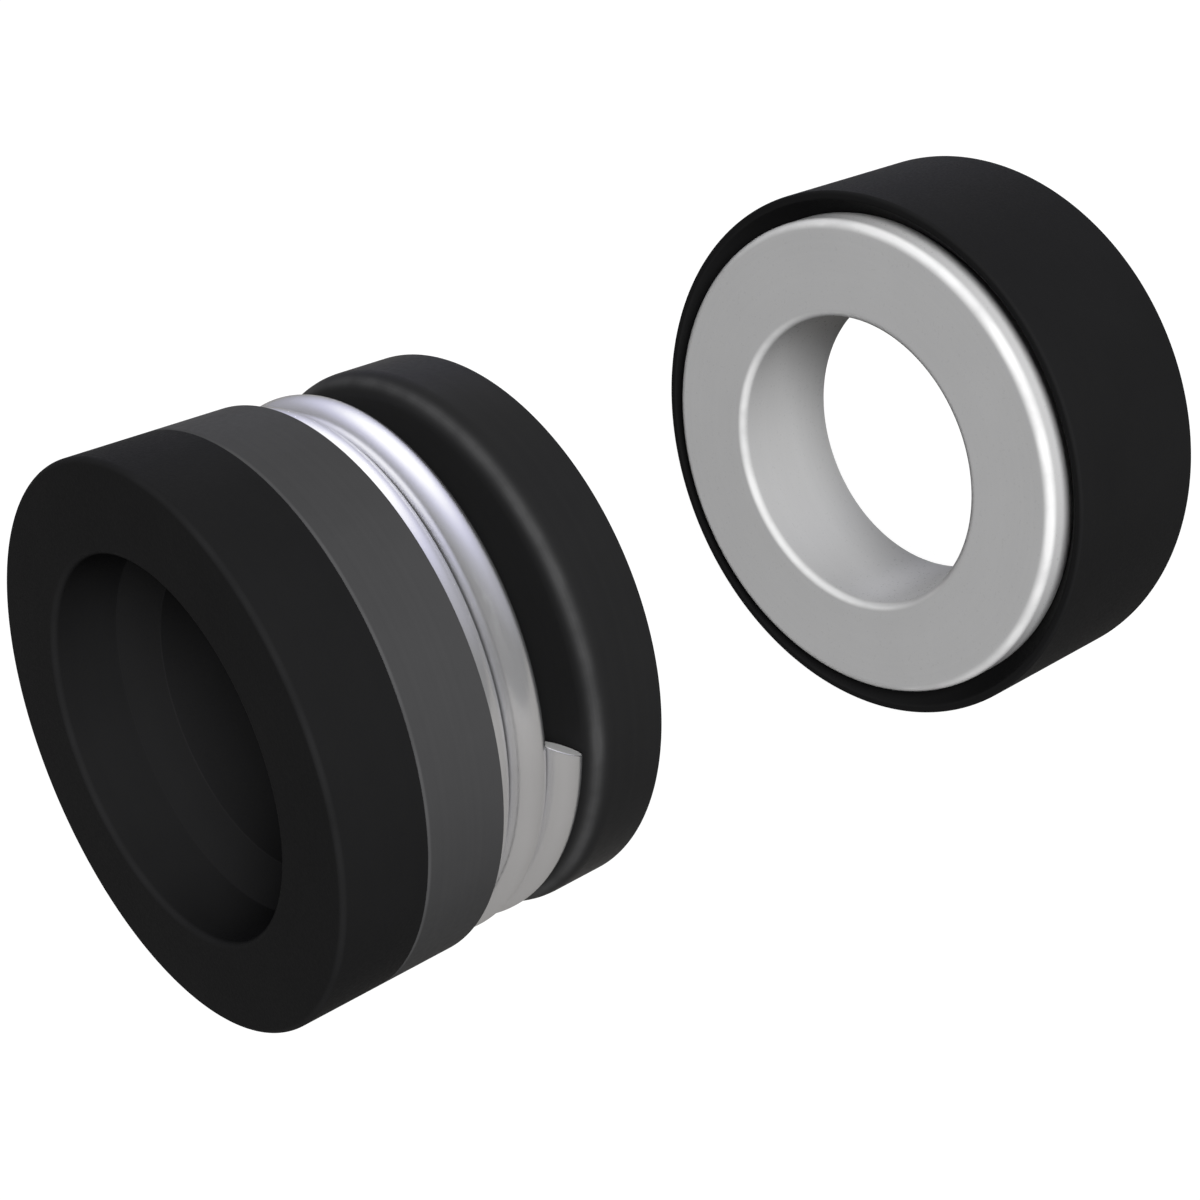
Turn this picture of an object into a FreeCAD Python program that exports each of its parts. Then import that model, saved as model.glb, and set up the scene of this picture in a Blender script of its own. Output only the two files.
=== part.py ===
import FreeCAD, Part
import Sketcher
import os
import re

# Component shaft seal with an elastomer bellows, drawn pulled apart on its shaft axis:
# the spring-loaded rotating head on the left and the stationary seat on the right.
# The shaft axis is +X. The origin is on it, at the middle of the rubber that grips the shaft.
# Every round piece is turned about X, so a profile gives x along the shaft and y as a radius.

SIZES = {
    # rubber bellows; its walls and steps are measured outwards from the shaft
    "shaft_dia": 20.0,
    "collar_wall": 7.7,
    "collar_len": 5.75,
    "collar_round": 0.35,
    "recess_step": 1.95,
    "recess_depth": 4.4,
    "mouth_round": 0.4,
    "grip_len": 5.6,
    "sleeve_wall": 3.0,
    "shaft_room": 0.7,
    "tube_wall": 1.4,
    "fold_radius": 2.0,
    "fold_wall": 1.2,
    "fold_blend": 0.6,
    "flange_len": 1.5,
    "flange_room": 0.05,
    # drive band, a drawn ring with an outer rim, a web and a hub
    "band_len": 5.35,
    "band_rim": 0.35,
    "band_web": 0.9,
    "band_hub": 0.6,
    "hub_len": 4.1,
    "hub_margin": 0.4,
    "band_round": 0.2,
    # coil spring, wound left-handed
    "coil_inset": 0.4,
    "wire_dia": 2.55,
    "coil_pitch": 2.75,
    "spring_room": 6.95,
    "wire_seat": 0.05,
    "cut_drop": 1.4,
    "cut_room": 0.1,
    "cut_turn": 5.0,
    # head shell
    "shell_inset": 0.05,
    "shell_len": 5.2,
    "shell_wall": 0.8,
    "shell_round": 1.4,
    "hole_room": 0.4,
    "tab_len": 1.1,
    "tab_width": 3.0,
    "tab_depth": 1.2,
    "tab_count": 3,
    # rotating face ring
    "face_room": 0.1,
    "face_len": 2.55,
    "nose_step": 2.45,
    "nose_len": 1.6,
    "nose_chamfer": 0.5,
    "slot_room": 0.25,
    # stationary seat ring
    "seat_gap": 35.05,
    "seat_room": 1.1,
    "seat_wall": 7.2,
    "seat_len": 9.6,
    "seat_round": 0.7,
    "bore_round": 0.6,
    "back_chamfer": 0.3,
    # rubber boot of the seat
    "boot_wall": 1.9,
    "boot_len": 13.15,
    "boot_setback": 0.85,
    "lip_width": 0.6,
    "lip_round": 0.25,
    "funnel_depth": 1.6,
    "ledge_width": 1.8,
    "boot_round": 0.6,
    "boot_lead": 0.25,
}

# Radii, outwards from the shaft, and places along it, from the tail face or the body's own start
DERIVED = {
    "grip_radius": "shaft_dia / 2",
    "recess_radius": "grip_radius + recess_step",
    "tail_radius": "grip_radius + collar_wall",
    "sleeve_radius": "grip_radius + sleeve_wall",
    "tube_bore": "grip_radius + shaft_room",
    "tube_radius": "tube_bore + tube_wall",
    "coil_radius": "tail_radius - coil_inset - wire_dia / 2",
    "shell_radius": "tail_radius - shell_inset",
    "shell_inside": "shell_radius - shell_wall",
    "shell_hole": "tube_radius + hole_room",
    "flange_radius": "shell_radius - shell_round - flange_room",
    "face_radius": "shell_inside - face_room",
    "nose_radius": "face_radius - nose_step",
    "seat_hole": "grip_radius + seat_room",
    "seat_radius": "seat_hole + seat_wall",
    "boot_radius": "seat_radius + boot_wall",
    "ledge_radius": "seat_radius - ledge_width",
    "grip_start": "recess_depth + recess_step",
    "tail_face": "-grip_start - grip_len / 2",
    "sleeve_end": "collar_len + hub_len + hub_margin",
    "taper_end": "sleeve_end + sleeve_radius - tube_radius",
    "coil_first": "collar_len + band_web + wire_dia / 2 + wire_seat",
    "shell_start": "collar_len + band_len + spring_room",
    "coil_last": "shell_start - wire_dia / 2 - wire_seat",
    "fold_middle": "(taper_end + shell_start) / 2",
    "fold_centre": "(tube_radius + tube_bore) / 2",
    "fold_foot": "sqrt(fold_radius^2 - (tube_radius - fold_centre)^2)",
    "flange_start": "shell_start + shell_wall",
    "face_start": "flange_start + flange_len",
    "nose_front": "face_start + face_len + nose_len",
    "seat_start": "nose_front + seat_gap",
    "boot_start": "seat_start + boot_setback",
    "ledge_start": "seat_len - boot_setback",
}


def make_sheet(doc):
    sheet = doc.addObject("Spreadsheet::Sheet", "Sizes")
    for row, (name, value) in enumerate(SIZES.items(), start=1):
        sheet.set(f"A{row}", name)
        sheet.set(f"B{row}", str(value))
        sheet.setAlias(f"B{row}", name)
    doc.recompute()
    return sheet


def bound(text):
    """Writes out the derived places in an expression and points its sizes at the sheet."""
    while any(re.search(rf"\b{name}\b", text) for name in DERIVED):
        for name, meaning in DERIVED.items():
            text = re.sub(rf"\b{name}\b", f"({meaning})", text)
    return re.sub(r"\b([a-z]+_[a-z]+)\b", r"Sizes.\1", text)


def make_body(doc, label, start):
    """A body whose own x = 0 lies at a place measured from the tail face."""
    body = doc.addObject("PartDesign::Body", label)
    body.Label = label
    body.setExpression("Placement.Base.x", bound(f"tail_face + {start}"))
    return body


def add_sketch(body, name, role="XZ_Plane"):
    sketch = body.newObject("Sketcher::SketchObject", name)
    plane = [part for part in body.Origin.OriginFeatures if part.Role == role][0]
    sketch.AttachmentSupport = [(plane, "")]
    sketch.MapMode = "FlatFace"
    return sketch


def pin_point(sketch, line, end, x, y):
    """Holds the end of a line at x and y, each an expression, measured from the sketch's origin."""
    for kind, text in (("DistanceX", x), ("DistanceY", y)):
        if text == "0":
            axis_line = -2 if kind == "DistanceX" else -1
            sketch.addConstraint(Sketcher.Constraint("PointOnObject", line, end, axis_line))
            continue
        value = sketch.evalExpression(bound(text))
        index = sketch.addConstraint(Sketcher.Constraint(kind, -1, 1, line, end, float(value)))
        sketch.setExpression(f"Constraints[{index}]", bound(text))


def add_outline(sketch, corners):
    """Draws a closed outline through corners, each given as two expressions."""
    points = []
    for x, y in corners:
        place = [float(sketch.evalExpression(bound(text))) for text in (x, y)]
        points.append(FreeCAD.Vector(place[0], place[1], 0))
    count = len(points)
    for index in range(count):
        sketch.addGeometry(Part.LineSegment(points[index], points[(index + 1) % count]))
    for index in range(count):
        sketch.addConstraint(Sketcher.Constraint("Coincident", index, 2, (index + 1) % count, 1))
    for index, (x, y) in enumerate(corners):
        pin_point(sketch, index, 1, x, y)


def add_circle(sketch, x, y, radius):
    place = [float(sketch.evalExpression(bound(text))) for text in (x, y, radius)]
    circle = Part.Circle(FreeCAD.Vector(place[0], place[1], 0), FreeCAD.Vector(0, 0, 1), place[2])
    sketch.addGeometry(circle)
    pin_point(sketch, 0, 3, x, y)
    index = sketch.addConstraint(Sketcher.Constraint("Radius", 0, place[2]))
    sketch.setExpression(f"Constraints[{index}]", bound(radius))


def turn(body, name, corners, kind="Revolution"):
    """Turns an outline about the shaft axis, to add material or, as a Groove, to remove it."""
    sketch = add_sketch(body, name + "Profile")
    add_outline(sketch, corners)
    feature = body.newObject("PartDesign::" + kind, name)
    feature.Profile = sketch
    feature.ReferenceAxis = (sketch, ["H_Axis"])
    feature.Angle = 360
    body.Document.recompute()
    return feature


def turn_circle(body, name, x, y, radius, kind="Revolution"):
    sketch = add_sketch(body, name + "Profile")
    add_circle(sketch, x, y, radius)
    feature = body.newObject("PartDesign::" + kind, name)
    feature.Profile = sketch
    feature.ReferenceAxis = (sketch, ["H_Axis"])
    feature.Angle = 360
    body.Document.recompute()
    return feature


def rim_names(body, feature, rims):
    """Names the round edges that lie at the given places and radii on a feature."""
    wanted = [[float(body.evalExpression(bound(text))) for text in rim] for rim in rims]
    names = []
    for index, edge in enumerate(feature.Shape.Edges, start=1):
        curve = edge.Curve
        if not isinstance(curve, Part.Circle):
            continue
        for x, radius in wanted:
            if abs(curve.Center.x - x) < 0.01 and abs(curve.Radius - radius) < 0.01:
                names.append(f"Edge{index}")
    assert len(names) >= len(rims), f"{body.Label}: a rim to finish is missing"
    return names


def finish_rims(body, name, size, rims, kind="Fillet"):
    """Rounds or chamfers rims of the body's newest feature."""
    base = body.Tip
    feature = body.newObject("PartDesign::" + kind, name)
    feature.Base = (base, rim_names(body, base, rims))
    feature.setExpression("Radius" if kind == "Fillet" else "Size", bound(size))
    body.Document.recompute()
    return feature


def repeat_round(body, name, original, count):
    """Repeats a feature round the shaft axis."""
    pattern = body.newObject("PartDesign::PolarPattern", name)
    pattern.Originals = [original]
    pattern.Axis = (original.Profile[0], ["H_Axis"])
    pattern.Angle = 360
    pattern.setExpression("Occurrences", bound(count))
    body.Tip = pattern
    body.Document.recompute()
    return pattern


def add_block(body, name, corners, width, kind):
    """Pads or pockets an outline by equal amounts to both sides of the sketch plane."""
    sketch = add_sketch(body, name + "Profile")
    add_outline(sketch, corners)
    feature = body.newObject("PartDesign::" + kind, name)
    feature.Profile = sketch
    feature.Midplane = True
    feature.setExpression("Length", bound(width))
    body.Document.recompute()
    return feature


def make_bellows(doc):
    """One rubber moulding: tail collar, gripping sleeve, thin folded tube and front flange."""
    body = make_body(doc, "bellows", "0")
    turn(body, "Moulding", [
        ("0", "recess_radius"),
        ("0", "tail_radius"),
        ("collar_len", "tail_radius"),
        ("collar_len", "sleeve_radius"),
        ("sleeve_end", "sleeve_radius"),
        ("taper_end", "tube_radius"),
        ("flange_start", "tube_radius"),
        ("flange_start", "flange_radius"),
        ("flange_start + flange_len", "flange_radius"),
        ("flange_start + flange_len", "tube_bore"),
        ("grip_start + grip_len + shaft_room", "tube_bore"),
        ("grip_start + grip_len", "grip_radius"),
        ("grip_start", "grip_radius"),
        ("recess_depth", "recess_radius"),
    ])
    turn_circle(body, "Fold", "fold_middle", "fold_centre", "fold_radius")
    feet = [("fold_middle - fold_foot", "tube_radius"), ("fold_middle + fold_foot", "tube_radius")]
    finish_rims(body, "FoldBlend", "fold_blend", feet)
    turn(body, "FoldBore", [
        ("fold_middle - fold_radius", "grip_radius - shaft_room"),
        ("fold_middle - fold_radius", "tube_bore"),
        ("fold_middle + fold_radius", "tube_bore"),
        ("fold_middle + fold_radius", "grip_radius - shaft_room"),
    ], "Groove")
    turn_circle(body, "FoldHollow", "fold_middle", "fold_centre", "fold_radius - fold_wall", "Groove")
    finish_rims(body, "CollarRound", "collar_round", [("0", "tail_radius")])
    finish_rims(body, "MouthRound", "mouth_round", [("0", "recess_radius")])
    return body


def make_drive_band(doc):
    """A drawn ring: its hub clamps the rubber to the shaft and its rim holds the spring."""
    body = make_body(doc, "drive_band", "collar_len")
    turn(body, "Band", [
        ("0", "sleeve_radius"),
        ("0", "tail_radius"),
        ("band_len", "tail_radius"),
        ("band_len", "tail_radius - band_rim"),
        ("band_web", "tail_radius - band_rim"),
        ("band_web", "sleeve_radius + band_hub"),
        ("hub_len", "sleeve_radius + band_hub"),
        ("hub_len", "sleeve_radius"),
    ])
    finish_rims(body, "BandRound", "band_round", [("0", "tail_radius")])
    return body


def make_coil_spring(doc):
    """Round wire wound left-handed. Its right end stands a little above -Y and is cut off on a slant."""
    body = make_body(doc, "coil_spring", "0")
    body.Placement.Rotation = FreeCAD.Rotation(FreeCAD.Vector(-1, 0, 0), SIZES["cut_turn"])
    body.setExpression("Placement.Rotation.Angle", bound("cut_turn"))
    sketch = add_sketch(body, "Wire", "XY_Plane")
    add_circle(sketch, "coil_last", "-coil_radius", "wire_dia / 2")
    coil = body.newObject("PartDesign::AdditiveHelix", "Coil")
    coil.Profile = sketch
    coil.ReferenceAxis = (sketch, ["H_Axis"])
    coil.Mode = "pitch-height-angle"
    coil.setExpression("Pitch", bound("coil_pitch"))
    coil.setExpression("Height", bound("coil_last - coil_first"))
    coil.Angle = 0
    coil.LeftHanded = True
    coil.Reversed = True
    doc.recompute()
    cut = add_block(body, "EndCut", [
        ("coil_last - wire_dia / 2 - cut_room", "cut_room * cut_drop / wire_dia"),
        ("coil_last + wire_dia / 2 + cut_room", "cut_room * cut_drop / wire_dia"),
        ("coil_last + wire_dia / 2 + cut_room", "-cut_drop - cut_room * cut_drop / wire_dia"),
    ], "tail_radius", "Pocket")
    cut.Midplane = False
    cut.Reversed = True
    doc.recompute()
    return body


def make_head_shell(doc):
    """A drawn cup that carries the spring's thrust to the face ring, with drive tabs at its mouth."""
    body = make_body(doc, "head_shell", "shell_start")
    turn(body, "Shell", [
        ("0", "shell_hole"),
        ("0", "shell_radius"),
        ("shell_len", "shell_radius"),
        ("shell_len", "shell_inside"),
        ("shell_wall", "shell_inside"),
        ("shell_wall", "shell_hole"),
    ])
    finish_rims(body, "ShellRound", "shell_round", [("0", "shell_radius")])
    finish_rims(body, "ShellInnerRound", "shell_round - shell_wall", [("shell_wall", "shell_inside")])
    tab = add_block(body, "Tab", [
        ("shell_len - tab_len", "shell_inside - tab_depth"),
        ("shell_len", "shell_inside - tab_depth"),
        ("shell_len", "shell_inside + shell_wall / 2"),
        ("shell_len - tab_len", "shell_inside + shell_wall / 2"),
    ], "tab_width", "Pad")
    repeat_round(body, "Tabs", tab, "tab_count")
    return body


def make_face_ring(doc):
    """The rotating carbon ring, with a raised nose and slots that the shell's tabs drive."""
    body = make_body(doc, "carbon_face", "face_start")
    turn(body, "Ring", [
        ("0", "tube_bore"),
        ("0", "face_radius"),
        ("face_len", "face_radius"),
        ("face_len", "nose_radius"),
        ("face_len + nose_len", "nose_radius"),
        ("face_len + nose_len", "tube_bore"),
    ])
    finish_rims(body, "NoseChamfer", "nose_chamfer", [("face_len + nose_len", "tube_bore")], "Chamfer")
    slot = add_block(body, "Slot", [
        ("shell_start + shell_len - tab_len - face_start - slot_room", "shell_inside - tab_depth - slot_room"),
        ("face_len + slot_room", "shell_inside - tab_depth - slot_room"),
        ("face_len + slot_room", "shell_inside + slot_room"),
        ("shell_start + shell_len - tab_len - face_start - slot_room", "shell_inside + slot_room"),
    ], "tab_width + 2 * slot_room", "Pocket")
    repeat_round(body, "Slots", slot, "tab_count")
    return body


def make_seat_ring(doc):
    """The stationary ceramic ring, lapped flat on its left face."""
    body = make_body(doc, "ceramic_seat", "seat_start")
    turn(body, "Seat", [
        ("0", "seat_hole"),
        ("0", "seat_radius"),
        ("seat_len", "seat_radius"),
        ("seat_len", "seat_hole"),
    ])
    finish_rims(body, "SeatRound", "seat_round", [("0", "seat_radius")])
    finish_rims(body, "BoreRound", "bore_round", [("0", "seat_hole")])
    finish_rims(body, "BackChamfer", "back_chamfer", [("seat_len", "seat_hole")], "Chamfer")
    return body


def make_seat_boot(doc):
    """The rubber boot that holds the ceramic ring, open as a funnel round its front edge."""
    body = make_body(doc, "seat_boot", "boot_start")
    turn(body, "Boot", [
        ("0", "boot_radius - lip_width"),
        ("0", "boot_radius"),
        ("boot_len", "boot_radius"),
        ("boot_len", "ledge_radius"),
        ("ledge_start", "ledge_radius"),
        ("ledge_start", "seat_radius"),
        ("funnel_depth", "seat_radius"),
    ])
    finish_rims(body, "LipRound", "lip_round", [("0", "boot_radius"), ("0", "boot_radius - lip_width")])
    finish_rims(body, "BootLead", "boot_lead", [("boot_len", "boot_radius")])
    finish_rims(body, "LedgeRound", "boot_round", [("boot_len", "ledge_radius")])
    return body


def check_document(doc, bodies):
    for item in doc.Objects:
        assert "Invalid" not in item.State and "Error" not in item.State, f"{item.Name} failed: {item.State}"
    for body in bodies:
        shape = body.Shape
        assert not shape.isNull() and shape.isValid(), f"{body.Label} has no valid shape"
        assert len(shape.Solids) == 1, f"{body.Label} isn't one solid"


def main():
    doc = FreeCAD.newDocument("component_seal")
    make_sheet(doc)
    makers = (make_bellows, make_drive_band, make_coil_spring, make_head_shell,
              make_face_ring, make_seat_ring, make_seat_boot)
    bodies = [maker(doc) for maker in makers]
    doc.recompute()
    check_document(doc, bodies)
    os.makedirs("parts", exist_ok=True)
    for body in bodies:
        body.Shape.exportStep(f"parts/{body.Label}.step")
        box = body.Shape.BoundBox
        print(f"{body.Label}: x {box.XMin:.2f} to {box.XMax:.2f}, across {box.YLength:.2f} by "
              f"{box.ZLength:.2f}, volume {body.Shape.Volume:.1f}")


main()
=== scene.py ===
import bpy
import numpy as np
from mathutils import Matrix, Vector


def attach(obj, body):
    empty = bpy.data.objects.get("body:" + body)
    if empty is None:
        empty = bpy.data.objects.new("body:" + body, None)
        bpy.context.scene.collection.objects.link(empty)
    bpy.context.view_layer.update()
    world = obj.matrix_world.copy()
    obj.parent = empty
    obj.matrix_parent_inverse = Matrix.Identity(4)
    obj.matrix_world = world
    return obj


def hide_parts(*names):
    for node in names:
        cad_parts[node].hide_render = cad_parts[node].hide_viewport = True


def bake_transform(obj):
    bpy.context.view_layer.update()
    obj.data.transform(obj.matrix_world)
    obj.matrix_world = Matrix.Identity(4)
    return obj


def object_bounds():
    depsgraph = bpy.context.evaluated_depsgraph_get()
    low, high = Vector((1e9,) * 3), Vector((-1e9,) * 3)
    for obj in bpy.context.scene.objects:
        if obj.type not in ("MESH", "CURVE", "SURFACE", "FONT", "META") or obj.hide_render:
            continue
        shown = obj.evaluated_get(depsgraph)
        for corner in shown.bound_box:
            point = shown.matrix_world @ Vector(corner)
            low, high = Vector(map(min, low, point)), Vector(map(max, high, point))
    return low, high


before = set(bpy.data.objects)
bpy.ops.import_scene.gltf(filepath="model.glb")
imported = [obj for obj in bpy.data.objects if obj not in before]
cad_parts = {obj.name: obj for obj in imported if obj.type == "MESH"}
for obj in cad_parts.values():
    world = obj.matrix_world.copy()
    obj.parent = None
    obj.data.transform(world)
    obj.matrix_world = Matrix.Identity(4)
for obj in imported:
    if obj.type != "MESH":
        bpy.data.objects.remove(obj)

# A bellows shaft seal pulled apart on its axis: the sprung head on the left, the seat on the right.
# Lengths below are in millimetres, along the shaft axis (x) and out from it (radius).
mm = 0.001
tailFace = -9.15      # x of the head's outer end in the model's own frame
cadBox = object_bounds()
print("frame loaded")


# Shapes
flatMargin = {"share": 0.3, "least": 0.001, "most": 0.06}      # kept beside each arc, of the flat run there


def unit(rows):
    return rows / np.linalg.norm(rows, axis=-1, keepdims=True)


def roundedLoop(corners, steps):
    # Turns each corner (x, radius, round) of a closed outline into an arc that touches both its sides.
    # With a half angle h between the sides, the arc's centre is corner + bisector * round / sin(h), and it
    # starts round / tan(h) before the corner. One more point stands outside each end of the arc, so that
    # the flat runs between the arcs shade flat. The last column is 1 on the arcs of outer edges, 0 elsewhere.
    table = np.array(corners, float)
    place, size = table[:, :2], table[:, 2:3]
    back = np.roll(place, 1, axis=0) - place
    ahead = np.roll(place, -1, axis=0) - place
    toBack, toAhead = unit(back), unit(ahead)
    half = np.arccos(np.clip(np.sum(toBack * toAhead, axis=1, keepdims=True), -1, 1)) / 2
    reach = size / np.tan(half)
    middle = place + unit(toBack + toAhead) * size / np.sin(half)
    free = np.linalg.norm(ahead, axis=1, keepdims=True) - reach - np.roll(reach, -1, axis=0)
    margin = np.clip(flatMargin["share"] * free, flatMargin["least"], flatMargin["most"])
    sweep = (np.pi - 2 * half)[:, None, :]
    share = np.linspace(0, 1, steps)[None, :, None]
    fromMiddle = (place + toBack * reach - middle)[:, None, :]
    toMiddle = (place + toAhead * reach - middle)[:, None, :]
    arcs = middle[:, None, :] + (fromMiddle * np.sin((1 - share) * sweep)
                                 + toMiddle * np.sin(share * sweep)) / np.sin(sweep)
    before = place + toBack * (reach + np.roll(margin, 1, axis=0))
    after = place + toAhead * (reach + margin)
    loop = np.concatenate([before[:, None, :], arcs, after[:, None, :]], axis=1)
    turn = back[:, 0] * ahead[:, 1] - back[:, 1] * ahead[:, 0]
    area = np.sum(place[:, 0] * np.roll(place[:, 1], -1) - np.roll(place[:, 0], -1) * place[:, 1])
    outer = (turn * np.sign(area) < 0).astype(float)
    edge = np.zeros(loop.shape[:2])
    edge[:, 1:-1] = outer[:, None] * np.sin(np.linspace(0, np.pi, steps))[None, :]
    return loop.reshape(-1, 2), edge.reshape(-1)


def gridFaces(rows, columns, rowsClose):
    # Faces of a grid whose columns always close on themselves, and whose rows may.
    row = np.arange(rows if rowsClose else rows - 1)[:, None]
    column = np.arange(columns)[None, :]
    nextRow, nextColumn = (row + 1) % rows, (column + 1) % columns
    return np.stack([row * columns + column, nextRow * columns + column,
                     nextRow * columns + nextColumn, row * columns + nextColumn], axis=-1).reshape(-1, 4)


def meshPiece(name, points, faces, body, nodes, material, ends=None):
    # Makes a closed mesh of millimetre points, turns its faces outwards by the sign of its volume
    # (the sum of a . (b x c) + a . (c x d) over the faces), and gives it its body, nodes and finish.
    a, b, c, d = (points[faces[:, k]] for k in range(4))
    volume = np.sum(a * np.cross(b, c)) + np.sum(a * np.cross(c, d))
    everyFace = faces.tolist() + (ends.tolist() if ends is not None else [])
    if volume < 0:
        everyFace = [face[::-1] for face in everyFace]
    mesh = bpy.data.meshes.new(name)
    mesh.from_pydata((points * mm).tolist(), [], everyFace)
    mesh.shade_smooth()
    mesh.materials.append(material)
    piece = bpy.data.objects.new(name, mesh)
    bpy.context.scene.collection.objects.link(piece)
    if body:
        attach(piece, body)      # a piece that bends between two bodies rides on neither
    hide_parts(*nodes)
    return piece


def addAttribute(piece, name, values):
    layer = piece.data.attributes.new(name, "FLOAT", "POINT")
    layer.data.foreach_set("value", values.astype(np.float32))


def turnedPiece(name, corners, start, body, nodes, material, around=288, steps=9):
    # Carries a rounded outline round the shaft axis: at an angle t the point (x, radius) stands at
    # (start + x, -radius * cos t, radius * sin t).
    loop, edge = roundedLoop(corners, steps)
    angle = np.linspace(0, 2 * np.pi, around, endpoint=False)[None, :]
    x = start + loop[:, :1] + 0 * angle
    radius = loop[:, 1:] + 0 * angle
    points = np.stack([x, -radius * np.cos(angle), radius * np.sin(angle)], axis=-1).reshape(-1, 3)
    faces = gridFaces(len(loop), around, True)
    piece = meshPiece(name, points, faces, body, nodes, material)
    addAttribute(piece, "edge", np.repeat(edge, around))
    return piece


# Finishes
noise = {
    "low": 0.3, "high": 0.7,      # most of a noise lies between these two
    "patches": 350.0,             # scale of the patches that break up the edge tone along an edge
}


def addNode(tree, kind, **values):
    # Adds a node. A value named after a socket, or after its number as n6 is, fills that socket, or is
    # joined to it when the value is itself a socket.
    node = tree.nodes.new(kind)
    for key, value in values.items():
        if hasattr(node, key) and key not in node.inputs:
            setattr(node, key, value)
            continue
        byNumber = key[0] == "n" and key[1:].isdigit()
        socket = node.inputs[int(key[1:]) if byNumber else key.replace("_", " ")]
        if isinstance(value, bpy.types.NodeSocket):
            tree.links.new(value, socket)
        else:
            socket.default_value = value
    return node


def newGroup(name, inputs, outputs):
    tree = bpy.data.node_groups.new(name, "ShaderNodeTree")
    for label, kind, value in inputs:
        socket = tree.interface.new_socket(label, in_out="INPUT", socket_type=kind)
        if value is not None:
            socket.default_value = value
    for label, kind in outputs:
        tree.interface.new_socket(label, in_out="OUTPUT", socket_type=kind)
    return tree, tree.nodes.new("NodeGroupInput"), tree.nodes.new("NodeGroupOutput")


def makeGrainGroup():
    # Fine and broad noise of a moulded or coated surface: Tone varies about 0.5, Normal is the fine bump.
    tree, given, result = newGroup(
        "surfaceGrain",
        [("Vector", "NodeSocketVector", None), ("Fine", "NodeSocketFloat", 3000.0),
         ("Broad", "NodeSocketFloat", 120.0), ("Depth", "NodeSocketFloat", 0.00002)],
        [("Tone", "NodeSocketFloat"), ("Speckle", "NodeSocketFloat"), ("Normal", "NodeSocketVector")])
    fine = addNode(tree, "ShaderNodeTexNoise", Vector=given.outputs["Vector"], Scale=given.outputs["Fine"],
                   Detail=3.0, Roughness=0.55)
    broad = addNode(tree, "ShaderNodeTexNoise", Vector=given.outputs["Vector"], Scale=given.outputs["Broad"],
                    Detail=4.0, Roughness=0.6)
    bump = addNode(tree, "ShaderNodeBump", Strength=1.0, Distance=given.outputs["Depth"],
                   Height=fine.outputs["Fac"])
    tree.links.new(broad.outputs["Fac"], result.inputs["Tone"])
    tree.links.new(fine.outputs["Fac"], result.inputs["Speckle"])
    tree.links.new(bump.outputs["Normal"], result.inputs["Normal"])
    return tree


def makeTurningGroup():
    # Rings left by turning or lapping: noise that runs only over x and the radius, so it stays even
    # round the shaft axis. Lines varies about 0.5.
    tree, given, result = newGroup(
        "turningLines",
        [("Vector", "NodeSocketVector", None), ("Spacing", "NodeSocketFloat", 4000.0),
         ("Depth", "NodeSocketFloat", 0.00001), ("Normal", "NodeSocketVector", None)],
        [("Lines", "NodeSocketFloat"), ("Normal", "NodeSocketVector")])
    parts = addNode(tree, "ShaderNodeSeparateXYZ", Vector=given.outputs["Vector"])
    flat = addNode(tree, "ShaderNodeCombineXYZ", Y=parts.outputs["Y"], Z=parts.outputs["Z"])
    radius = addNode(tree, "ShaderNodeVectorMath", operation="LENGTH", n0=flat.outputs["Vector"])
    ringPlace = addNode(tree, "ShaderNodeCombineXYZ", X=parts.outputs["X"], Y=radius.outputs["Value"])
    rings = addNode(tree, "ShaderNodeTexNoise", Vector=ringPlace.outputs["Vector"],
                    Scale=given.outputs["Spacing"], Detail=2.0, Roughness=0.6)
    bump = addNode(tree, "ShaderNodeBump", Strength=1.0, Distance=given.outputs["Depth"],
                   Height=rings.outputs["Fac"], Normal=given.outputs["Normal"])
    tree.links.new(rings.outputs["Fac"], result.inputs["Lines"])
    tree.links.new(bump.outputs["Normal"], result.inputs["Normal"])
    return tree


def makeEdgeGroup():
    # Lighter edges, part rubbed wear and part painted highlight: the edge attribute of a piece to the power
    # Narrow, broken up by noise.
    tree, given, result = newGroup(
        "edgeWearAndPaintedHighlight",
        [("Vector", "NodeSocketVector", None), ("Amount", "NodeSocketFloat", 0.5),
         ("Narrow", "NodeSocketFloat", 1.0)],
        [("Mask", "NodeSocketFloat")])
    edge = addNode(tree, "ShaderNodeAttribute", attribute_name="edge")
    patches = addNode(tree, "ShaderNodeTexNoise", Vector=given.outputs["Vector"], Scale=noise["patches"],
                      Detail=3.0)
    narrowed = addNode(tree, "ShaderNodeMath", operation="POWER", n0=edge.outputs["Fac"],
                       n1=given.outputs["Narrow"])
    broken = addNode(tree, "ShaderNodeMath", operation="MULTIPLY", n0=narrowed.outputs["Value"],
                     n1=patches.outputs["Fac"])
    mask = addNode(tree, "ShaderNodeMath", operation="MULTIPLY", use_clamp=True, n0=broken.outputs["Value"],
                   n1=given.outputs["Amount"])
    tree.links.new(mask.outputs["Value"], result.inputs["Mask"])
    return tree


grainGroup, turningGroup, edgeGroup = makeGrainGroup(), makeTurningGroup(), makeEdgeGroup()


def useGroup(tree, group, **values):
    node = tree.nodes.new("ShaderNodeGroup")
    node.node_tree = group
    for key, value in values.items():
        if isinstance(value, bpy.types.NodeSocket):
            tree.links.new(value, node.inputs[key])
        else:
            node.inputs[key].default_value = value
    return node


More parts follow.
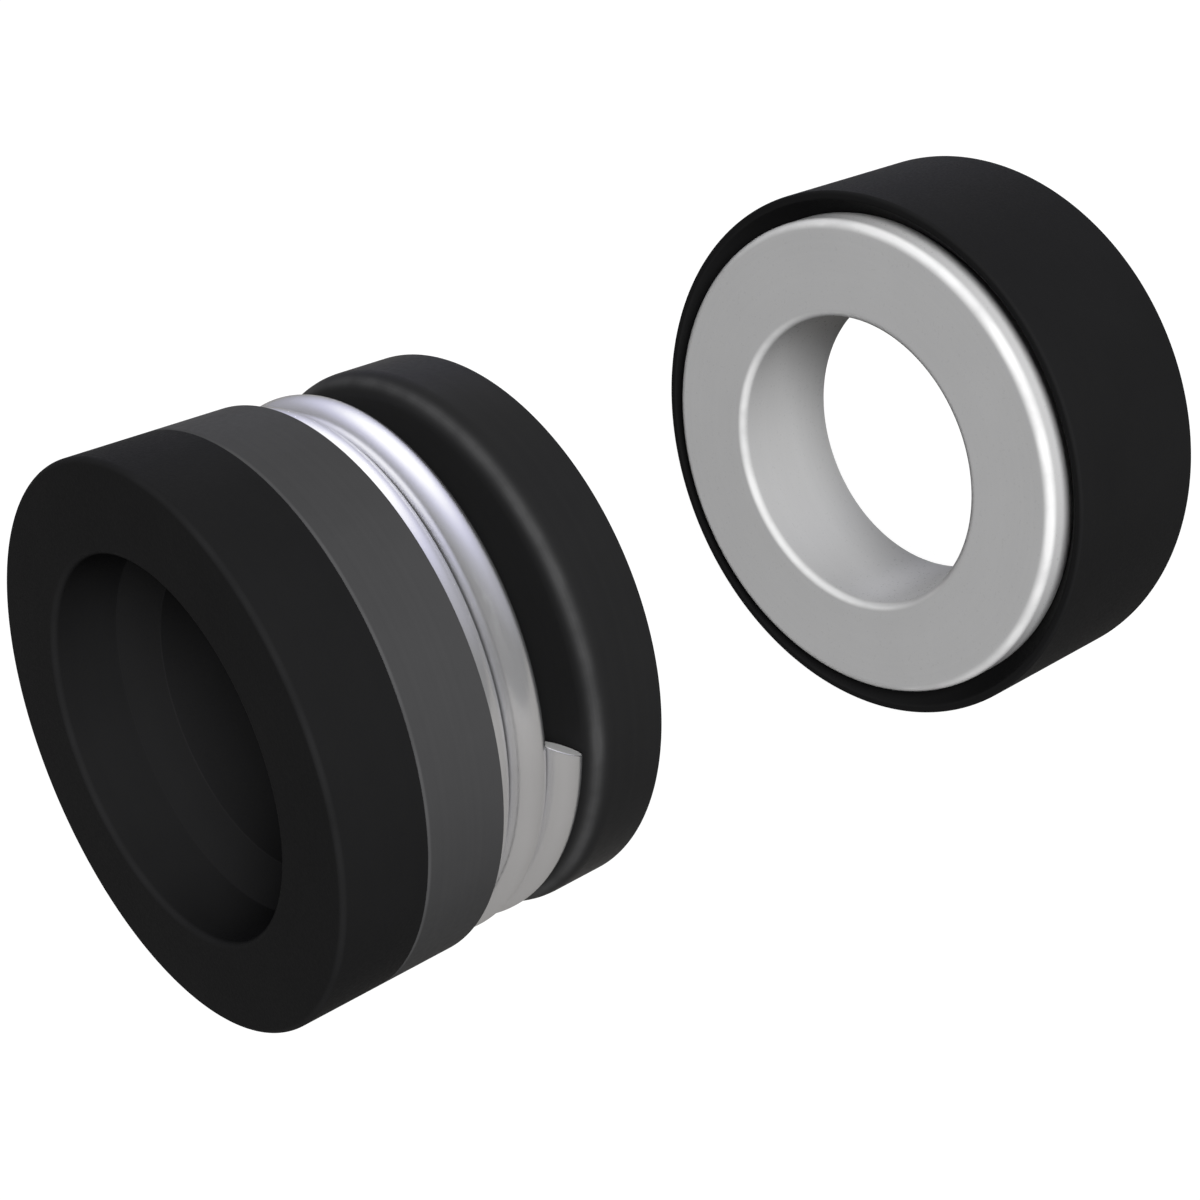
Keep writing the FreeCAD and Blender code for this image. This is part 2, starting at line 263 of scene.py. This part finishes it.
def ringFinish(name, look):
    # A finish of the turned pieces: dark and light tones mixed by the grain and the turning lines, the edge
    # tone on rounded edges (part rubbed wear, part painted highlight), and a painted shade, the bore tone,
    # where the bore shade attribute is 1. Grain and lines are both in the bump, and the grain in the
    # roughness. passedOn is the share of its colour that further bounces take on.
    material = bpy.data.materials.new(name)
    material.use_nodes = True
    tree = material.node_tree
    tree.nodes.clear()
    output = tree.nodes.new("ShaderNodeOutputMaterial")
    where = tree.nodes.new("ShaderNodeTexCoord").outputs["Object"]
    grain = useGroup(tree, grainGroup, Vector=where, Fine=look["fine"], Broad=look["broad"],
                     Depth=look["grainDepth"])
    lines = useGroup(tree, turningGroup, Vector=where, Spacing=look["lineSpacing"],
                     Depth=look["lineDepth"], Normal=grain.outputs["Normal"])
    edgeWearAndHighlight = useGroup(tree, edgeGroup, Vector=where, Amount=look["wearAndHighlightAmount"], Narrow=look.get("narrow", 1.0))
    tone = addNode(tree, "ShaderNodeMix", data_type="FLOAT", n0=look["lineShare"],
                   n2=grain.outputs["Tone"], n3=lines.outputs["Lines"])
    colours = addNode(tree, "ShaderNodeMix", data_type="RGBA", n0=tone.outputs[0],
                      n6=(*look["dark"], 1), n7=(*look["light"], 1))
    # The edge tone lightens the rounded edges: part rubbed wear, part painted highlight.
    edged = addNode(tree, "ShaderNodeMix", data_type="RGBA", n0=edgeWearAndHighlight.outputs["Mask"],
                    n6=colours.outputs[2], n7=(*look["edge"], 1))
    # Painted shade: where this attribute is 1 the colour is multiplied by the bore tone, darkening the seat's
    # bore wall.
    paintedBoreShade = addNode(tree, "ShaderNodeAttribute", attribute_name="paintedBoreShade")
    bored = addNode(tree, "ShaderNodeMix", data_type="RGBA", blend_type="MULTIPLY",
                    n0=paintedBoreShade.outputs["Fac"], n6=edged.outputs[2],
                    n7=(*[look.get("boreShadeTone", 1.0)] * 3, 1))
    path = tree.nodes.new("ShaderNodeLightPath")
    passed = addNode(tree, "ShaderNodeMix", data_type="RGBA", blend_type="MULTIPLY",
                     n0=path.outputs["Is Diffuse Ray"], n6=bored.outputs[2],
                     n7=(*[look.get("passedOn", 1.0)] * 3, 1))
    rough = addNode(tree, "ShaderNodeMapRange", Value=grain.outputs["Speckle"], n1=noise["low"],
                    n2=noise["high"], n3=look["smooth"], n4=look["rough"])
    shader = addNode(tree, "ShaderNodeBsdfPrincipled", Base_Color=passed.outputs[2],
                     Roughness=rough.outputs[0], Normal=lines.outputs["Normal"])
    shader.inputs["Specular IOR Level"].default_value = look["gloss"]
    tree.links.new(shader.outputs["BSDF"], output.inputs["Surface"])
    return material


# Bellows: tail collar, gripping sleeve, folded tube and flange in one rubber moulding
bellows = {
    "colour": {"dark": (0.0110, 0.0110, 0.0114), "light": (0.0150, 0.0150, 0.0154),
               "edge": (0.027, 0.027, 0.028),
               "wearAndHighlightAmount": 0.5, "fine": 5200.0, "broad": 160.0, "grainDepth": 0.000012,
               "lineSpacing": 900.0, "lineDepth": 0.000002, "lineShare": 0.25,
               "smooth": 0.42, "rough": 0.56, "gloss": 0.015},
    "bore": 10.0, "tail": 17.7, "collar": 5.75, "mouth": 11.95, "recess": 4.4, "coneEnd": 6.35, "grip": 5.6,
    "sleeve": 13.0, "sleeveEnd": 10.25, "taperEnd": 11.15, "tube": 12.1, "tubeBore": 10.7,
    "foldAt": 14.6, "fold": 2.0, "foldTop": 13.4, "foldRound": 1.95,
    "hollow": 0.8, "hollowTop": 12.2, "hollowRound": 0.75, "boreTaper": 0.7,
    "flangeStart": 18.85, "flangeEnd": 20.35, "flange": 16.2, "rigidEnd": 0.8,
}
b = bellows
bellowsCorners = [      # x, radius, round
    (0, b["mouth"], 0.4), (0, b["tail"], 0.35), (b["collar"], b["tail"], 0.06),
    (b["collar"], b["sleeve"], 0.06), (b["sleeveEnd"], b["sleeve"], 0.3), (b["taperEnd"], b["tube"], 0.3),
    (b["foldAt"] - b["fold"], b["tube"], 0.6), (b["foldAt"] - b["fold"], b["foldTop"], b["foldRound"]),
    (b["foldAt"] + b["fold"], b["foldTop"], b["foldRound"]), (b["foldAt"] + b["fold"], b["tube"], 0.6),
    (b["flangeStart"], b["tube"], 0.15), (b["flangeStart"], b["flange"], 0.1),
    (b["flangeEnd"], b["flange"], 0.1), (b["flangeEnd"], b["tubeBore"], 0.1),
    (b["foldAt"] + b["hollow"], b["tubeBore"], 0.25),
    (b["foldAt"] + b["hollow"], b["hollowTop"], b["hollowRound"]),
    (b["foldAt"] - b["hollow"], b["hollowTop"], b["hollowRound"]),
    (b["foldAt"] - b["hollow"], b["tubeBore"], 0.25),
    (b["coneEnd"] + b["grip"] + b["boreTaper"], b["tubeBore"], 0.2),
    (b["coneEnd"] + b["grip"], b["bore"], 0.2), (b["coneEnd"], b["bore"], 0.12),
    (b["recess"], b["mouth"], 0.12),
]
bellowsPiece = turnedPiece("bellowsMoulding", bellowsCorners, tailFace, None, ["bellows"],
                           ringFinish("satinBlackRubber", b["colour"]))
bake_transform(bellowsPiece)
print("bellows made")


# Drive band: a drawn ring that clamps the sleeve and holds the spring
band = {
    "colour": {"dark": (0.047, 0.047, 0.0484), "light": (0.066, 0.066, 0.0674), "edge": (0.14, 0.14, 0.143),
               "wearAndHighlightAmount": 0.5, "fine": 2600.0, "broad": 220.0, "grainDepth": 0.000006,
               "lineSpacing": 2600.0, "lineDepth": 0.000003, "lineShare": 0.5,
               "smooth": 0.38, "rough": 0.48, "gloss": 0.02},
    "start": 5.75, "length": 5.35, "outside": 17.7, "rim": 0.35, "web": 0.9,
    "hubInside": 13.02, "hub": 13.6, "hubLength": 4.1, "room": 0.02,
}
b = band
bandCorners = [
    (b["room"], b["hubInside"], 0.1), (b["room"], b["outside"], 0.2), (b["length"], b["outside"], 0.1),
    (b["length"], b["outside"] - b["rim"], 0.1), (b["web"], b["outside"] - b["rim"], 0.3),
    (b["web"], b["hub"], 0.3), (b["hubLength"], b["hub"], 0.12), (b["hubLength"], b["hubInside"], 0.1),
]
turnedPiece("driveBandRing", bandCorners, tailFace + b["start"], "tail", ["drive_band"],
            ringFinish("darkGreyCoat", b["colour"]))
print("drive band made")


# Head shell: a drawn cup with a soft front corner
shell = {
    "colour": {"dark": (0.0142, 0.0142, 0.0146), "light": (0.0202, 0.0202, 0.0206),
               # The edge tone, narrowed to the middle of the rounded edges, paints a highlight on the front
               # corner and the other rounds.
               "edge": (0.058, 0.058, 0.059),
               "wearAndHighlightAmount": 2.0, "narrow": 7.0, "fine": 2800.0, "broad": 200.0, "grainDepth": 0.000005,
               "lineSpacing": 2400.0, "lineDepth": 0.000002, "lineShare": 0.4,
               "smooth": 0.30, "rough": 0.38, "gloss": 0.03},
    "start": 18.05, "length": 5.2, "outside": 17.65, "wall": 0.8, "hole": 12.5, "round": 1.4,
    "mouth": 1.1, "stepStart": 0.05, "stepEnd": 0.5, "step": 0.001,      # rows of points, no visible step
}
b = shell
shellCorners = [
    (0, b["hole"], 0.12), (0, b["outside"], b["round"]), (b["length"], b["outside"], 0.12),
    (b["length"], b["outside"] - b["wall"], 0.12),
    (b["length"] - b["mouth"] + b["stepEnd"], b["outside"] - b["wall"] + b["step"], 0.02),
    (b["length"] - b["mouth"] - b["stepStart"], b["outside"] - b["wall"] - b["step"], 0.02),
    (b["wall"], b["outside"] - b["wall"], 0.6), (b["wall"], b["hole"], 0.12),
]
turnedPiece("headShellCup", shellCorners, tailFace + b["start"], "face", ["head_shell"],
            ringFinish("satinBlackCoat", b["colour"]), around=480, steps=11)
print("head shell made")


# Coil spring: round wire wound left-handed, its right end cut on a slant
spring = {
    "radius": 16.025, "wire": 1.275, "pitch": 2.75, "first": 7.975, "last": 16.725,
    "cutDrop": 1.4, "cutTurn": np.radians(5.0), "cutReach": 0.35,
    "perTurn": 150, "roundWire": 56, "endRound": 0.10, "endRows": 6, "capScale": (0.3, 0.6, 0.86),
    "cutRows": 5, "gap": 0.003,
    "colour": {"dark": (0.86, 0.86, 0.875), "light": (0.95, 0.95, 0.965), "cut": (0.95, 0.95, 0.94),
               "fine": 2400.0, "broad": 180.0, "grainDepth": 0.0000015,
               "scoreStretch": (0.6, 26.0, 1.0), "scores": 4.0, "scoreDepth": 0.000003,
               "smooth": 0.14, "rough": 0.22, "cutRough": 0.6, "metal": 0.9},
}


def springWireFinish(look):
    # Bright drawn wire: fine lines along the wire from its own map, over a faint broad tone. Where the
    # cutEnd attribute is 1 the wire is plain and dull.
    material = bpy.data.materials.new("brightDrawnWire")
    material.use_nodes = True
    tree = material.node_tree
    tree.nodes.clear()
    output = tree.nodes.new("ShaderNodeOutputMaterial")
    along = addNode(tree, "ShaderNodeUVMap", uv_map="wire")
    where = tree.nodes.new("ShaderNodeTexCoord").outputs["Object"]
    stretch = addNode(tree, "ShaderNodeMapping", Vector=along.outputs["UV"], Scale=look["scoreStretch"])
    scores = addNode(tree, "ShaderNodeTexNoise", Vector=stretch.outputs["Vector"], Scale=look["scores"],
                     Detail=3.0, Roughness=0.55)
    grain = useGroup(tree, grainGroup, Vector=where, Fine=look["fine"], Broad=look["broad"],
                     Depth=look["grainDepth"])
    colours = addNode(tree, "ShaderNodeMix", data_type="RGBA", n0=grain.outputs["Tone"],
                      n6=(*look["dark"], 1), n7=(*look["light"], 1))
    cut = addNode(tree, "ShaderNodeAttribute", attribute_name="cutEnd")
    shown = addNode(tree, "ShaderNodeMix", data_type="RGBA", n0=cut.outputs["Fac"], n6=colours.outputs[2],
                    n7=(*look["cut"], 1))
    drawn = addNode(tree, "ShaderNodeMapRange", Value=scores.outputs["Fac"], n1=noise["low"],
                    n2=noise["high"], n3=look["smooth"], n4=look["rough"])
    rough = addNode(tree, "ShaderNodeMix", data_type="FLOAT", n0=cut.outputs["Fac"], n2=drawn.outputs[0],
                    n3=look["cutRough"])
    metal = addNode(tree, "ShaderNodeMapRange", Value=cut.outputs["Fac"], n1=0.0, n2=1.0, n3=look["metal"],
                    n4=0.0)
    bump = addNode(tree, "ShaderNodeBump", Strength=1.0, Distance=look["scoreDepth"],
                   Height=scores.outputs["Fac"], Normal=grain.outputs["Normal"])
    shader = addNode(tree, "ShaderNodeBsdfPrincipled", Base_Color=shown.outputs[2], Metallic=metal.outputs[0],
                     Roughness=rough.outputs[0], Normal=bump.outputs["Normal"])
    tree.links.new(shader.outputs["BSDF"], output.inputs["Surface"])
    return material


def wirePoint(size, a, scale, ring):
    # A point of a round wire wound left-handed. At a turn angle a back from its right end the wire's middle
    # stands at (last - pitch * a / 2 pi, -radius * cos t, -radius * sin t), with t = a - cutTurn. The right
    # end falls by cutDrop from the wire's left side to its right: that slant is added to the angle a, and
    # fades out over cutReach.
    out = size["radius"] + size["wire"] * scale * np.cos(ring)
    fade = np.clip(1 - a / size["cutReach"], 0, 1)
    slant = size["cutDrop"] * (1 + scale * np.sin(ring)) / (2 * out) * fade
    turn = a + slant - size["cutTurn"]
    x = (tailFace + size["last"] - size["pitch"] * (a + slant) / (2 * np.pi)
         + size["wire"] * scale * np.sin(ring))
    return np.stack([x, -out * np.cos(turn), -out * np.sin(turn)], axis=-1)


def woundWire(size):
    # Rows of wire points from end to end, with a small round at both ends and a flat cap on each.
    turns = (size["last"] - size["first"]) / size["pitch"]
    fullAngle = 2 * np.pi * turns
    perRadian = np.hypot(size["radius"], size["pitch"] / (2 * np.pi))
    bend = np.linspace(0, np.pi / 2, size["endRows"])
    endPlace = size["endRound"] * (1 - np.cos(bend)) / perRadian
    endScale = 1 - size["endRound"] / size["wire"] * (1 - np.sin(bend))
    capScale = np.array(size["capScale"])
    body = np.linspace(endPlace[-1] + size["gap"], fullAngle - endPlace[-1] - size["gap"],
                       int(size["perTurn"] * turns))
    a = np.concatenate([0 * capScale, endPlace, body, fullAngle - endPlace[::-1], fullAngle + 0 * capScale])
    scale = np.concatenate([capScale, endScale, np.ones_like(body), endScale[::-1], capScale[::-1]])
    a, scale = a[:, None], scale[:, None]
    ring = np.linspace(0, 2 * np.pi, size["roundWire"], endpoint=False)[None, :]
    points = wirePoint(size, a, scale, ring).reshape(-1, 3)
    tips = wirePoint(size, np.array([0.0, fullAngle]), 0.0, 0.0)
    count, columns = len(points), size["roundWire"]
    column = np.arange(columns)
    nextColumn = (column + 1) % columns
    lastRow = count - columns
    firstCap = np.stack([np.full(columns, count), column, nextColumn], axis=-1)
    lastCap = np.stack([np.full(columns, count + 1), lastRow + nextColumn, lastRow + column], axis=-1)
    run = np.repeat(a[:, 0] * perRadian, columns)
    roundWire = np.tile(ring[0] * size["wire"], len(a))
    cut = np.zeros(len(a))
    cut[:size["cutRows"]] = cut[-size["cutRows"]:] = 1
    return (np.concatenate([points, tips]), gridFaces(len(a), columns, False),
            np.concatenate([firstCap, lastCap]), np.stack([run, roundWire], axis=-1),
            np.concatenate([np.repeat(cut, columns), [1, 1]]))


wirePoints, wireFaces, wireEnds, wireMap, wireCut = woundWire(spring)
springPiece = meshPiece("coilSpringWire", wirePoints, wireFaces, None, ["coil_spring"],
                        springWireFinish(spring["colour"]), ends=wireEnds)
addAttribute(springPiece, "cutEnd", wireCut)
wireMap = np.concatenate([wireMap, wireMap[:1], wireMap[-1:]])
uvLayer = springPiece.data.uv_layers.new(name="wire")
corner = np.zeros(len(springPiece.data.loops), dtype=np.int64)
springPiece.data.loops.foreach_get("vertex_index", corner)
uvLayer.data.foreach_set("uv", wireMap[corner].astype(np.float32).reshape(-1))
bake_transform(springPiece)
print("coil spring made")


# Seat: the ceramic ring, lapped on its face and ground in its bore
seat = {
    # The edge tone paints a highlight on the ring's rounded edges, and the bore tone paints shade on its bore
    # wall.
    "colour": {"dark": (0.52, 0.52, 0.523), "light": (0.60, 0.60, 0.603), "edge": (0.86, 0.86, 0.86),
               "wearAndHighlightAmount": 2.0, "narrow": 1.6, "passedOn": 0.25, "boreShadeTone": 0.76,
               "fine": 4200.0, "broad": 140.0, "grainDepth": 0.000002,
               "lineSpacing": 3200.0, "lineDepth": 0.0000006, "lineShare": 0.35,
               "smooth": 0.26, "rough": 0.36, "gloss": 0.35},
    "start": 59.55, "length": 9.6, "bore": 11.1, "outside": 18.3, "backChamfer": 0.3,
    "boreShadeReach": 0.35, "boreShadeFade": 0.3,
}
b = seat
seatCorners = [
    (0, b["bore"], 0.6), (0, b["outside"], 0.7), (b["length"], b["outside"], 0.1),
    (b["length"], b["bore"] + b["backChamfer"], 0.05), (b["length"] - b["backChamfer"], b["bore"], 0.05),
]
seatPiece = turnedPiece("ceramicSeatRing", seatCorners, tailFace + b["start"], "seat", ["ceramic_seat"],
                        ringFinish("lappedAlumina", b["colour"]), steps=13)
# Painted shade: the bore wall is coloured a shade darker than the lapped face, standing in for the shade
# inside the bore. The mask is 1 on its wall, falling to 0 on its rounded edge.
seatPlace = np.zeros(3 * len(seatPiece.data.vertices))
seatPiece.data.vertices.foreach_get("co", seatPlace)
seatRadius = np.hypot(seatPlace[1::3], seatPlace[2::3]) / mm
seatBoreShade = np.clip((b["bore"] + b["boreShadeReach"] - seatRadius) / b["boreShadeFade"], 0, 1)
addAttribute(seatPiece, "paintedBoreShade", seatBoreShade)


# Boot: the rubber moulding that holds the ceramic ring
boot = {
    "colour": {"dark": (0.0110, 0.0110, 0.0114), "light": (0.0150, 0.0150, 0.0154),
               "edge": (0.019, 0.019, 0.0195),
               "wearAndHighlightAmount": 0.5, "fine": 5200.0, "broad": 150.0, "grainDepth": 0.000012,
               "lineSpacing": 800.0, "lineDepth": 0.000002, "lineShare": 0.25,
               "smooth": 0.42, "rough": 0.56, "gloss": 0.015},
    "start": 60.4, "length": 13.15, "outside": 20.2, "lip": 0.6, "funnel": 1.6, "seatRadius": 18.3,
    "ledgeAt": 8.75, "ledge": 16.5,
}
b = boot
bootCorners = [
    (0, b["outside"] - b["lip"], 0.25), (0, b["outside"], 0.25), (b["length"], b["outside"], 0.25),
    (b["length"], b["ledge"], 0.6), (b["ledgeAt"], b["ledge"], 0.12),
    (b["ledgeAt"], b["seatRadius"], 0.05), (b["funnel"], b["seatRadius"], 0.06),
]
turnedPiece("seatBootRubber", bootCorners, tailFace + b["start"], "seat", ["seat_boot"],
            ringFinish("satinBootRubber", b["colour"]))
print("seat and boot made")


# Carbon face ring, kept from the frame
carbon = {"dark": (0.030, 0.030, 0.032), "light": (0.052, 0.052, 0.054), "edge": (0.10, 0.10, 0.10),
          "wearAndHighlightAmount": 0.0, "fine": 3600.0, "broad": 260.0, "grainDepth": 0.000004,
          "lineSpacing": 3600.0, "lineDepth": 0.0000015, "lineShare": 0.4,
          "smooth": 0.30, "rough": 0.42, "gloss": 0.6}
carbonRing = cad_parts["carbon_face"]
carbonFinish = ringFinish("carbonGraphite", carbon)
if len(carbonRing.material_slots) == 0:
    carbonRing.data.materials.append(carbonFinish)
for materialSlot in carbonRing.material_slots:
    materialSlot.material = carbonFinish
print("carbon ring finished")


# Floor, lamps, world and camera
studio = {
    "floorDrop": 0.0001, "floorSize": 3.0, "floorGlow": 0.97, "floorInMetal": (0.19, 0.182, 0.172),
    "floorColour": 0.12,
    "target": (0.026, 0.0, 0.0),
    "lamps": [
        # name, direction from the target, distance, size, watts
        ("keyLamp", (-0.45, -0.72, 0.528), 1.4, 0.70, 26.3),
        ("farSideLamp", (0.68, 0.70, 0.20), 1.4, 0.70, 18.0),
    ],
    "ambient": (0.03, 0.03, 0.031), "skyTowards": (0.3, 0.35, 0.89), "skyRange": (0.15, 0.95),
    "sky": [(0.0, (0.17, 0.17, 0.17)), (0.5, (0.37, 0.37, 0.42)), (0.78, (0.66, 0.66, 0.83)),
            (1.0, (1.20, 1.20, 1.22))],
    "cameraPlace": (-0.05892, -0.09249, 0.06491), "cameraForward": (0.592, 0.651, -0.474),
    "lens": 62.66, "sensor": 36.0, "clip": (0.002, 20.0),
}


def makeFloor():
    # A square of floor just under the lowest piece. It glows for the camera and keeps the shadow.
    half = studio["floorSize"] / 2
    height = cadBox[0].z - studio["floorDrop"]
    mesh = bpy.data.meshes.new("studioFloor")
    corners = [(-half, -half, height), (half, -half, height), (half, half, height), (-half, half, height)]
    mesh.from_pydata(corners, [], [(0, 1, 2, 3)])
    material = bpy.data.materials.new("paleFloor")
    material.use_nodes = True
    tree = material.node_tree
    tree.nodes.clear()
    output = tree.nodes.new("ShaderNodeOutputMaterial")
    path = tree.nodes.new("ShaderNodeLightPath")
    white = addNode(tree, "ShaderNodeMath", operation="MAXIMUM", n0=path.outputs["Is Camera Ray"],
                    n1=path.outputs["Is Transmission Ray"])
    seen = addNode(tree, "ShaderNodeMix", data_type="RGBA", n0=path.outputs["Is Glossy Ray"],
                   n6=(0, 0, 0, 1), n7=(*studio["floorInMetal"], 1))
    glowColour = addNode(tree, "ShaderNodeMix", data_type="RGBA", n0=white.outputs["Value"],
                         n6=seen.outputs[2], n7=(*[studio["floorGlow"]] * 3, 1))
    glow = addNode(tree, "ShaderNodeEmission", Color=glowColour.outputs[2], Strength=1.0)
    matt = addNode(tree, "ShaderNodeBsdfDiffuse", Color=(*[studio["floorColour"]] * 3, 1))
    both = addNode(tree, "ShaderNodeAddShader", n0=glow.outputs["Emission"], n1=matt.outputs["BSDF"])
    tree.links.new(both.outputs["Shader"], output.inputs["Surface"])
    mesh.materials.append(material)
    floor = bpy.data.objects.new("studioFloor", mesh)
    bpy.context.scene.collection.objects.link(floor)


def makeWorld():
    # White for the camera. For reflections a sky that runs from grey in front to white behind and above, and
    # for everything else the dim ambient.
    world = bpy.data.worlds.new("studioWorld")
    bpy.context.scene.world = world
    world.use_nodes = True
    tree = world.node_tree
    tree.nodes.clear()
    output = tree.nodes.new("ShaderNodeOutputWorld")
    path = tree.nodes.new("ShaderNodeLightPath")
    direction = tree.nodes.new("ShaderNodeTexCoord").outputs["Generated"]
    rise = addNode(tree, "ShaderNodeVectorMath", operation="DOT_PRODUCT", n0=direction,
                   n1=studio["skyTowards"])
    share = addNode(tree, "ShaderNodeMapRange", Value=rise.outputs["Value"], n1=studio["skyRange"][0],
                    n2=studio["skyRange"][1], n3=0.0, n4=1.0)
    sky = addNode(tree, "ShaderNodeValToRGB", Fac=share.outputs[0])
    ramp = sky.color_ramp
    for place, colour in studio["sky"][1:-1]:
        ramp.elements.new(place)
    for element, (place, colour) in zip(ramp.elements, studio["sky"]):
        element.position, element.color = place, (*colour, 1)
    forGloss = addNode(tree, "ShaderNodeMix", data_type="RGBA", n0=path.outputs["Is Glossy Ray"],
                       n6=(*studio["ambient"], 1), n7=sky.outputs["Color"])
    seen = addNode(tree, "ShaderNodeMath", operation="MAXIMUM", n0=path.outputs["Is Camera Ray"],
                   n1=path.outputs["Is Transmission Ray"])
    colour = addNode(tree, "ShaderNodeMix", data_type="RGBA", n0=seen.outputs["Value"],
                     n6=forGloss.outputs[2], n7=(1, 1, 1, 1))
    background = addNode(tree, "ShaderNodeBackground", Color=colour.outputs[2], Strength=1.0)
    tree.links.new(background.outputs["Background"], output.inputs["Surface"])


def makeLamp(name, direction, distance, size, watts):
    # A soft round lamp that shades the pieces and leaves their reflections to the sky.
    lamp = bpy.data.lights.new(name, "AREA")
    lamp.shape = "DISK"
    lamp.size = size
    lamp.energy = watts
    holder = bpy.data.objects.new(name, lamp)
    towards = Vector(direction).normalized()
    holder.location = Vector(studio["target"]) + towards * distance
    holder.rotation_euler = (-towards).to_track_quat("-Z", "Y").to_euler()
    holder.visible_glossy = False
    bpy.context.scene.collection.objects.link(holder)


def makeCamera():
    camera = bpy.data.cameras.new("photoCamera")
    camera.lens = studio["lens"]
    camera.sensor_width = studio["sensor"]
    camera.clip_start, camera.clip_end = studio["clip"]
    holder = bpy.data.objects.new("photoCamera", camera)
    forward = Vector(studio["cameraForward"]).normalized()
    holder.matrix_world = (Matrix.Translation(Vector(studio["cameraPlace"]))
                           @ forward.to_track_quat("-Z", "Y").to_matrix().to_4x4())
    bpy.context.scene.collection.objects.link(holder)
    bpy.context.scene.camera = holder


makeFloor()
makeWorld()
for lampSettings in studio["lamps"]:
    makeLamp(*lampSettings)
makeCamera()
bpy.context.scene.view_settings.view_transform = "Standard"
print("stage made")
